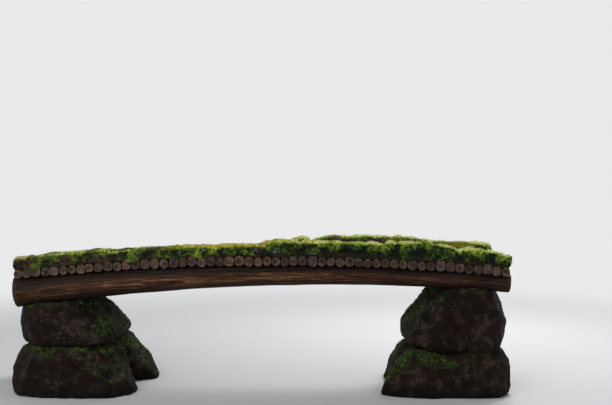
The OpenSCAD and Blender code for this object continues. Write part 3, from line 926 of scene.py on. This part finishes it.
def girderMaterial(s):
    material = newMaterial("girderWood", 0.62, 0.14)
    place = useGroup(arcPlace)["Place"]
    along, down = axes(place)["X"], attribute("down")
    skin = useGroup(grain, Vector=place, **s["skin"])
    fine = useGroup(grain, Vector=place, **s["fine"])
    tone = weigh(0.0, s["toneBy"], skin=skin["Streak"], fine=fine["Streak"])
    share = s["shares"]
    spread = vectorCalc("MULTIPLY", place, s["knotSpread"])
    cell = add("ShaderNodeTexVoronoi", {"Vector": spread, "Scale": 1.0}).outputs
    chosen = calc("GREATER_THAN", axes(cell["Color"])["X"], s["knots"])
    knot = times(between(cell["Distance"], *s["knotSize"]), chosen)
    # painted shade towards both ends of the girder
    darkenedZone = calc("MAXIMUM", between(along, *s["shadeRight"]), between(along, *s["shadeLeft"]))
    colour = paint(ramp(tone, s, s["tones"]),
                   (patch(place, *s["broad"]), share["broad"], s["low"]),
                   (knot, 1.0, s["knot"]),
                   (darkenedZone, share["darkenedZone"], s["low"]),
                   # painted shade on the underside, and painted shadow under the overhanging logs
                   (between(down, *s["belly"]), 1.0, s["low"]),
                   (between(down, *s["shadow"]), 1.0, s["shadowBand"]),
                   (skin["Split"], share["split"], s["crack"]))
    end = useGroup(sawnEnd, Core=attribute("core", "Vector"), Lot=attribute("lot"), **s["end"])
    stain = calc("MULTIPLY_ADD", patch(place, *s["stain"]), *s["stained"])
    cut = paint(blend(end["Rings"], s["mid"], s["warm"]), (stain, 1.0, s["low"]),
                (end["Crack"], 1.0, s["crack"]))
    height = weigh(skin["Streak"], s["relief"], split=skin["Split"], fine=fine["Streak"], knot=knot)
    return finishMaterial(material, blend(attribute("sawn"), colour, cut), height, *s["bump"])


def makeGirders(s):
    material = girderMaterial(girderColours)
    perGirder, leftLot, rightLot = s["lots"]
    for index, name in enumerate(("girder_front", "girder_middle", "girder_rear")):
        piece = copyNode(name)
        pairFaces(piece, s["flat"], s["skew"])
        edit(piece, bpy.ops.transform.edge_crease, lambda face: abs(face.normal.x) > s["facing"], value=1)
        modify(piece, "SUBSURF", levels=s["levels"], render_levels=s["levels"])
        points = [onArc(v.co) for v in piece.data.vertices]
        middle = (sum(p.y for p in points) / len(points), sum(p.z for p in points) / len(points))
        first, last = min(p.x for p in points), max(p.x for p in points)
        top = max(p.z for p in points)
        lows = furthest(points, min, s["station"], first)
        mark(piece, "down", [(top - p.z) / (top - low.z) for low, p in zip(lows, points)])
        mark(piece, "core", [(p.y - middle[0], p.x, p.z - middle[1]) for p in points])
        mark(piece, "sawn", [float(min(p.x - first, last - p.x) < s["sawnDeep"]) for p in points])
        mark(piece, "lot", [index * perGirder + (rightLot if p.x > 0 else leftLot) for p in points])
        roughenBy(piece, s["waves"], s["grooves"], s["splits"])
        settle(piece, name + "_log", "girder_wood", material, name)


makeGirders(girderSet)
print("girders: done")

# Earth and path
earthColours = {
    "dark": (0.010, 0.006, 0.004),
    "soil": (0.046, 0.027, 0.017),
    "dust": (0.150, 0.100, 0.062),
    "green": (0.050, 0.070, 0.014),
    "stone": (0.170, 0.145, 0.120),
    "tones": {"dark": 0.48, "soil": 0.66, "dust": 0.86},
    "clod": (34.0, 6.0, 0.68), "grit": (320.0, 3.0, 0.6), "clodShare": 0.8, "gritShare": 0.4,
    "tread": (3.0, 4.0), "mossy": (9.0, 8.0, 0.68), "stones": (60.0, 2.0),
    "worn": (0.05, 0.32, 0.55, 0.10), "edge": (0.24, 0.46),  # metres from the middle line
    "greener": {"edge": 0.20, "grit": 0.10}, "greenHold": (0.58, 0.70),
    "bump": (0.010, 0.9),
}
bedSet = {
    "voxel": 0.020, "green": 0.10,  # how much of the green shows
    "lumps": {"Size": 0.10, "Amount": 0.014, "Detail": 3.0},
    "clods": {"Size": 0.035, "Amount": 0.008, "Seed": 3.0},
}
pathSet = {
    "flat": 50, "skew": 60,  # degrees, for pairing triangles
    "cuts": 3, "round": 0.014, "green": 0.85,
    "ruts": {"Size": 0.35, "Amount": 0.020, "Middle": 0.55},
    "clods": {"Size": 0.045, "Amount": 0.010, "Detail": 4.0},
    "pebble": 0.006, "pebbleShape": (1, 0.8, 0.55),
    "pebbles": {"Density": 330.0, "Seed": 9, "Bare": 0.5, "Full": 0.8, "Tilt": 0.2, "Smallest": 0.3,
                "Largest": 1.4},
}


def earthMaterial(s, name, green):
    material = newMaterial(name, 0.95, 0.15)
    place = useGroup(arcPlace)["Place"]
    aside = calc("ABSOLUTE", axes(place)["Y"])
    grit, tone = cloddy(place, s)
    mossy = weigh(noise(place, *s["mossy"]), s["greener"], edge=between(aside, *s["edge"]), grit=grit)
    stone = blend(noise(place, *s["stones"]), s["dark"], s["stone"])
    colour = paint(ramp(tone, s, s["tones"]),
                   (between(aside, *s["worn"]), noise(place, *s["tread"]), s["dust"]),
                   (between(mossy, *s["greenHold"]), green, s["green"]),
                   (attribute("tip"), 1.0, stone))
    return finishMaterial(material, colour, tone, *s["bump"])


def makeBed(s):
    piece = copyNode("earth_bed")
    remesh(piece, s["voxel"])
    roughenBy(piece, s["lumps"], s["clods"])
    material = earthMaterial(earthColours, "packedEarth", s["green"])
    settle(piece, "packed_earth", "earth", material, "earth_bed")


def makePath(s):
    piece = copyNode("path")
    pairFaces(piece, s["flat"], s["skew"])
    modify(piece, "BEVEL", width=s["round"], segments=3, limit_method="ANGLE",
           angle_limit=math.radians(s["flat"]))
    edit(piece, bpy.ops.mesh.subdivide, number_cuts=s["cuts"])
    roughenBy(piece, s["ruts"], s["clods"])
    pebble = addNew(bpy.ops.mesh.primitive_ico_sphere_add, subdivisions=1, radius=s["pebble"],
                    scale=s["pebbleShape"])
    mark(pebble, "tip", [1.0] * len(pebble.data.vertices))
    grow(piece, scatter, Shape=pebble, **s["pebbles"])
    bpy.data.objects.remove(pebble)
    pick(piece)
    bpy.ops.object.shade_smooth()
    material = earthMaterial(earthColours, "troddenEarth", s["green"])
    settle(piece, "trodden_path", "path", material, "path")


makeBed(bedSet)
makePath(pathSet)
print("path: done")

# Abutment boulders
boulderSet = {
    "chips": 16, "chipDepth": 0.06, "chipShares": (0.25, 1), "chipRise": (-0.12, 0.80),
    "voxel": 0.024, "seed": 21,
    "bulges": {"Size": 0.42, "Amount": 0.05, "Detail": 1.0},
    "scoops": {"Size": 0.26, "Amount": -0.050},
    "faces": {"Size": 0.12, "Amount": 0.034},
    "grit": {"Size": 0.05, "Amount": 0.014, "Detail": 3.0},
    "hold": {"Size": 0.2, "Low": 0.36, "High": 0.76, "Near": 2.0, "Far": 2.5},  # where sprigs take hold
    "holdDetail": 4.0, "holdCloud": (0.42, 0.56), "farHold": 0.4,
    "sprigs": {"Density": 3000.0, "Bare": 0.1, "Full": 0.6, "Upright": 0.35, "Where": "mossy"},
    "lowest": 0.0,  # nothing reaches below the ground
}
boulderColours = {
    "dark": (0.005, 0.003, 0.0022),
    "brown": (0.013, 0.008, 0.0055),
    "grey": (0.056, 0.039, 0.029),
    "wet": (0.004, 0.003, 0.0025),
    "lichen": (0.095, 0.088, 0.062),
    "tones": {"dark": 0.47, "brown": 0.60, "grey": 0.74},
    "mossTones": {"shade": 0.1, "deep": 0.4, "green": 0.7, "bright": 1.0},
    "clod": (7.0, 9.0, 0.66), "grit": (150.0, 4.0, 0.65), "clodShare": 0.85, "gritShare": 0.30,
    "bend": (0.30, 4.0, 5.0), "veins": 2.4, "veinWide": (0.0, 0.030, 1.0, 0.0),
    "broken": (2.2, 4.0, 0.50, 0.60), "lichens": (15.0, 7.0, 0.62, 0.67),  # patches
    "greens": (24.0, 4.0, 0.3, 0.7), "greenBy": {"patch": 0.6, "tip": 0.4},
    "veinShare": 0.8, "lichenShare": 0.28, "veinDeep": -0.5,
    "darkenedZone": (0.02, 0.16, 0.75, 0.0),  # metres over the ground
    "bump": (0.014, 0.8),
}


def mossyTree(s):  # where moss takes hold: on what faces up, in patches, less towards the ends
    given = startShape("mossy", Size=0.2, Low=0.2, High=0.7, Near=2.0, Far=2.5)
    here = get("GeometryNodeInputPosition")
    away = calc("ABSOLUTE", axes(here)["X"])
    up = axes(get("GeometryNodeInputNormal"))["Z"]
    cloud = noise(here, calc("DIVIDE", 1.0, given["Size"]), s["holdDetail"])
    where = times(between(up, given["Low"], given["High"]), between(cloud, *s["holdCloud"]),
                  between(away, given["Near"], given["Far"], 1.0, s["farHold"]))
    return endGroup(Geometry=markField(given["Geometry"], "mossy", where))


def boulderMaterial(s, mossColours):
    material = newMaterial("abutmentStone", 0.82, 0.10)
    here = objectPlace()
    _, tone = cloddy(here, s)
    bent = warp(here, *s["bend"])
    edge = get("ShaderNodeTexVoronoi", {"Vector": bent, "Scale": s["veins"]}, feature="DISTANCE_TO_EDGE")
    vein = times(between(edge, *s["veinWide"]), patch(here, *s["broken"]))
    tip = attribute("tip")
    cover = calc("MAXIMUM", attribute("mossy"), calc("GREATER_THAN", tip, 0.001))
    green = weigh(0.0, s["greenBy"], patch=patch(here, *s["greens"]), tip=tip)
    colour = paint(ramp(tone, s, s["tones"]),
                   (vein, s["veinShare"], s["wet"]),
                   (patch(here, *s["lichens"]), s["lichenShare"], s["lichen"]),
                   (between(axes(here)["Z"], *s["darkenedZone"]), 1.0, s["wet"]),
                   (cover, 1.0, ramp(green, mossColours, s["mossTones"])))
    height = calc("MULTIPLY_ADD", vein, s["veinDeep"], tone)
    return finishMaterial(material, colour, height, *s["bump"])


def chip(piece, s, draw):  # flat faces broken off all round
    for _ in range(s["chips"]):
        turn, rise = draw.uniform(0, 2 * math.pi), draw.uniform(*s["chipRise"])
        away = Vector((math.cos(turn), math.sin(turn), rise)).normalized()
        reach = max(away.dot(v.co) for v in piece.data.vertices)
        reach -= s["chipDepth"] * draw.uniform(*s["chipShares"])
        edit(piece, bpy.ops.mesh.bisect, plane_co=away * reach, plane_no=away, use_fill=True,
             clear_outer=True)


def makeBoulders(s):
    material = boulderMaterial(boulderColours, mossSet)
    mossyHold = mossyTree(s)
    draw = random.Random(s["seed"])
    for index, name in enumerate(named("boulder")):
        piece = copyNode(name)
        chip(piece, s, draw)
        remesh(piece, s["voxel"])
        for tree, each in ((roughen, "bulges"), (cushions, "scoops"), (roughen, "faces"), (roughen, "grit")):
            grow(piece, tree, Seed=float(index), **s[each])
        grow(piece, mossyHold, **s["hold"])
        grow(piece, scatter, Shape=sprig, Seed=index, **s["sprigs"])
        for vertex in piece.data.vertices:
            vertex.co.z = max(vertex.co.z, s["lowest"])
        settle(piece, name + "_rock", "stone", material, name)


makeBoulders(boulderSet)
bpy.data.objects.remove(sprig)
print("boulders: done")

# Floor, light and background
studioSet = {
    "floor": (0.62, 0.62, 0.62), "reach": 60.0, "fade": (4.5, 11.0),  # metres from the middle
    "shown": (0.82, 0.82, 0.82),  # the background
    "sky": (0.95, 0.97, 1.0), "ambient": 0.55,
    "lamps": {"keyLight": ((4.0, 4.5, 6.5), 3.0, 480.0), "fillLight": ((-4.0, -8.0, 5.0), 5.0, 260.0)},
    "aim": (0.3, 0, 1.2),
}


def seenRays():  # rays that may see the background
    ray = add("ShaderNodeLightPath").outputs
    return calc("MAXIMUM", ray["Is Camera Ray"],
                calc("MAXIMUM", ray["Is Glossy Ray"], ray["Is Transmission Ray"]))


def makeStudio(s):
    floor = addNew(bpy.ops.mesh.primitive_circle_add, vertices=96, radius=s["reach"], fill_type="NGON")
    floor.name = "floor"
    material = newMaterial("floor", 0.9)
    plain = trees[-1].nodes["Principled BSDF"]
    plain.inputs["Base Color"].default_value = (*s["floor"], 1)
    fade = times(seenRays(), between(length(objectPlace()), *s["fade"]))
    glow = get("ShaderNodeEmission", {"Color": s["shown"], "Strength": 1.0})
    both = get("ShaderNodeMixShader", {0: fade, 1: plain.outputs[0], 2: glow})
    link(both, trees[-1].nodes["Material Output"].inputs["Surface"])
    floor.data.materials.append(material)
    scene.world = bpy.data.worlds.new("studio")
    scene.world.use_nodes = True
    trees.append(scene.world.node_tree)
    trees[-1].nodes.clear()
    ambient = get("ShaderNodeBackground", {"Color": s["sky"], "Strength": s["ambient"]})
    shown = get("ShaderNodeBackground", {"Color": s["shown"], "Strength": 1.0})
    both = get("ShaderNodeMixShader", {0: seenRays(), 1: ambient, 2: shown})
    add("ShaderNodeOutputWorld", {"Surface": both})
    for name, (place, size, energy) in s["lamps"].items():
        bpy.ops.object.light_add(type="AREA", location=place)
        lamp = bpy.context.object
        lamp.name = name
        lamp.data.size = size
        lamp.data.energy = energy
        lamp.rotation_euler = (Vector(s["aim"]) - Vector(place)).to_track_quat("-Z", "Y").to_euler()
    scene.view_settings.view_transform = "Standard"


makeStudio(studioSet)
print("studio: done")
